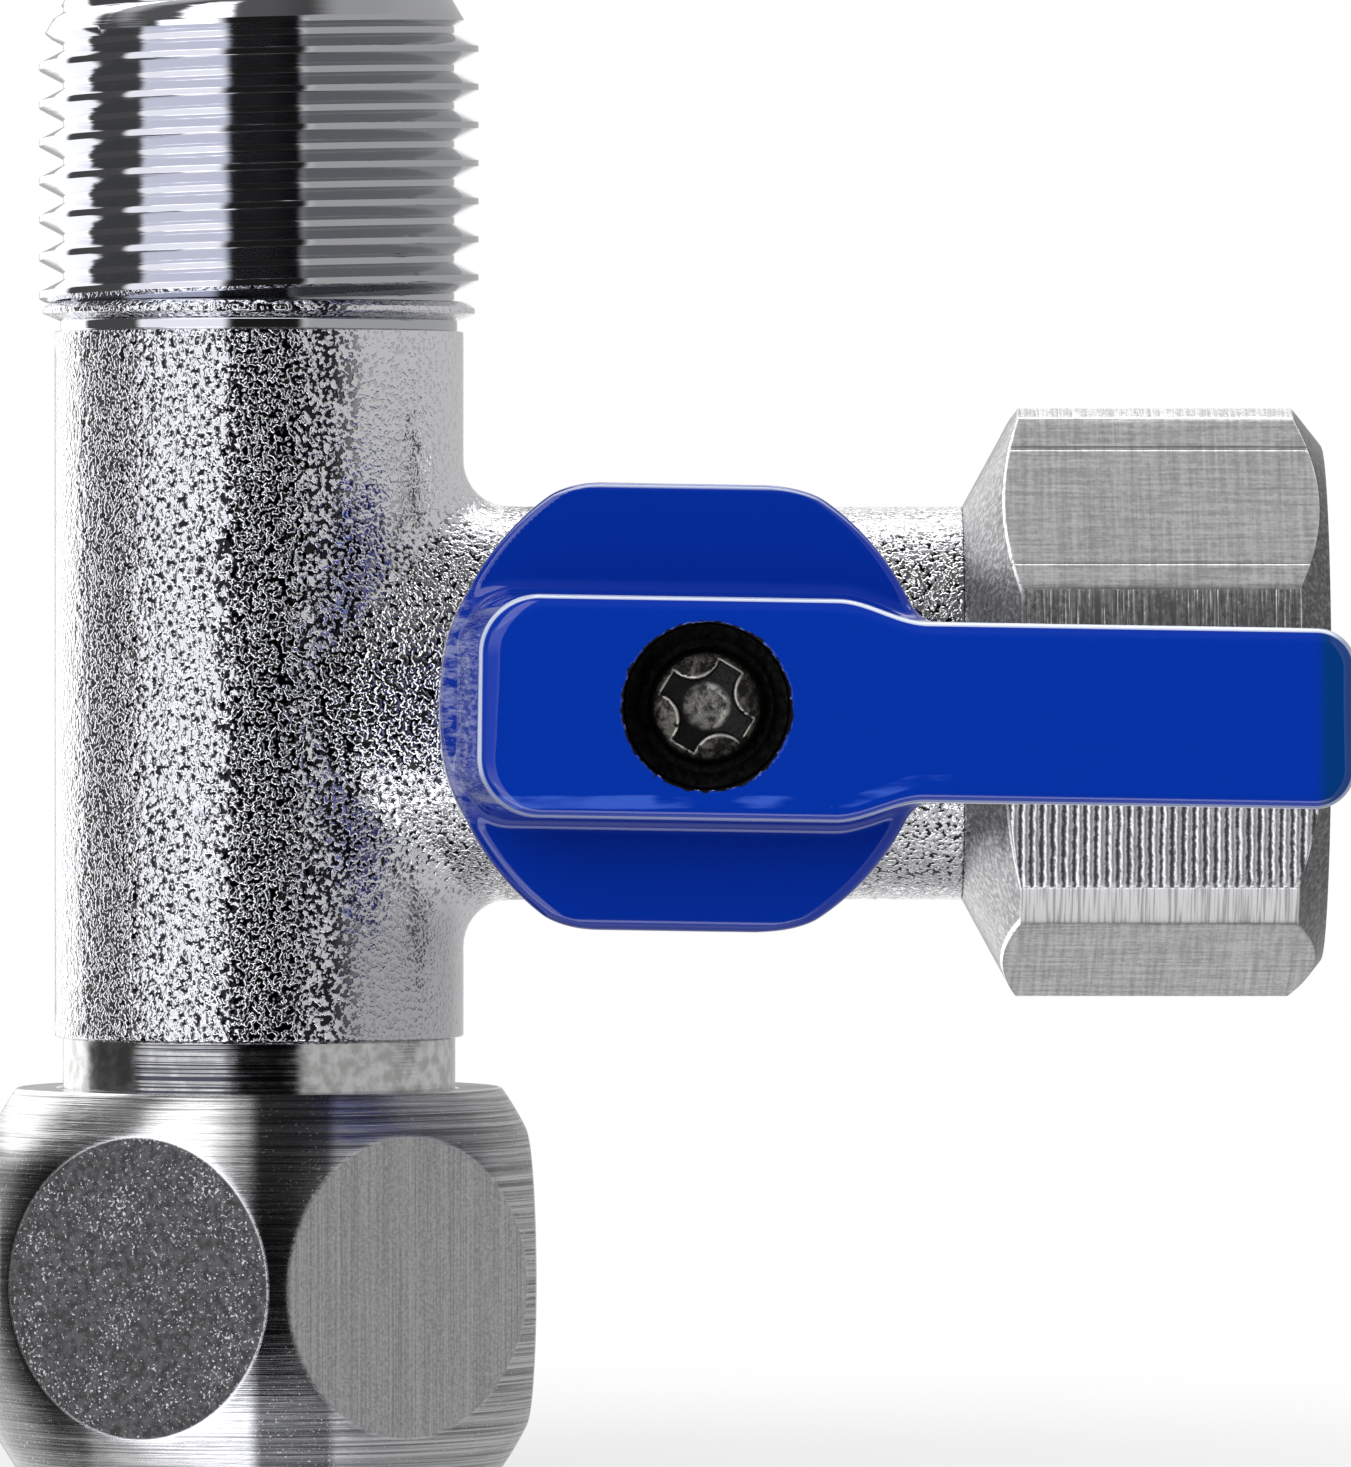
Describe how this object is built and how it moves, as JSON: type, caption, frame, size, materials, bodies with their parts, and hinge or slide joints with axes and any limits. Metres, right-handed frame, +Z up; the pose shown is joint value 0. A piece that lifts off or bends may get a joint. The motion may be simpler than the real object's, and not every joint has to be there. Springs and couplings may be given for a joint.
{
  "type": "water shutoff valve",
  "caption": "Quarter-turn ball shutoff valve tee: a run with a male pipe thread above and a swivel nut below, and a lever-operated branch that ends in a female pipe thread.",
  "frame": {"origin": "on the axis of the run, at the underside of the gasket, where the end of the supply pipe seals", "axes": "+Z up the run towards the male thread, +X along the branch towards its female thread, -Y outwards along the stem on the handle's side"},
  "size_m": [0.0647, 0.0351, 0.0712],
  "materials": {
    "plated_forging": "bright plating over a fine blasted forging",
    "plated_bar": "bright plating over fine turning and milling lines",
    "polished_chrome": "polished plating",
    "plain_brass": "turned brass",
    "blue_enamel": "thick glossy enamel over a casting",
    "black_steel": "black oxide, slightly oily",
    "spring_steel": "bright drawn wire",
    "ptfe": "waxy white",
    "black_rubber": "smooth moulded rubber"
  },
  "bodies": {
    "valve": {"tee_body": "plated_forging", "end_cap": "plated_bar", "inner_seat": "ptfe", "outer_seat": "ptfe", "cap_o_ring": "black_rubber", "thrust_washer": "ptfe", "inlet_tail": "plated_bar", "tail_o_ring": "black_rubber", "retaining_ring": "spring_steel"},
    "handle": {"handle": "blue_enamel", "stem": "plain_brass", "lower_stem_o_ring": "black_rubber", "upper_stem_o_ring": "black_rubber", "flat_washer": "black_steel", "spring_washer": "black_steel", "handle_screw": "black_steel"},
    "ball": {"ball": "polished_chrome"},
    "gasket": {"gasket_washer": "black_rubber"},
    "nut": {"swivel_nut": "plated_bar"}
  },
  "joints": [
    {"name": "handle_turn", "type": "hinge", "parent": "valve", "child": "handle", "pos_m": [0.0213, 0, 0.0289], "axis": [0, 1, 0], "range_deg": [0, 90]},
    {"name": "ball_turn", "type": "hinge", "parent": "valve", "child": "ball", "pos_m": [0.0213, 0, 0.0289], "axis": [0, 1, 0], "range_deg": [0, 90]},
    {"name": "nut_slide", "type": "slide", "parent": "valve", "child": "gasket", "axis": [0, 0, 1], "range_m": [0, 0.0023]},
    {"name": "nut_spin", "type": "hinge", "parent": "gasket", "child": "nut", "pos_m": [0, 0, 0], "axis": [0, 0, 1], "continuous": true}
  ],
  "couplings": [
    {"joint": "ball_turn", "follows": "handle_turn", "ratio": 1}
  ]
}
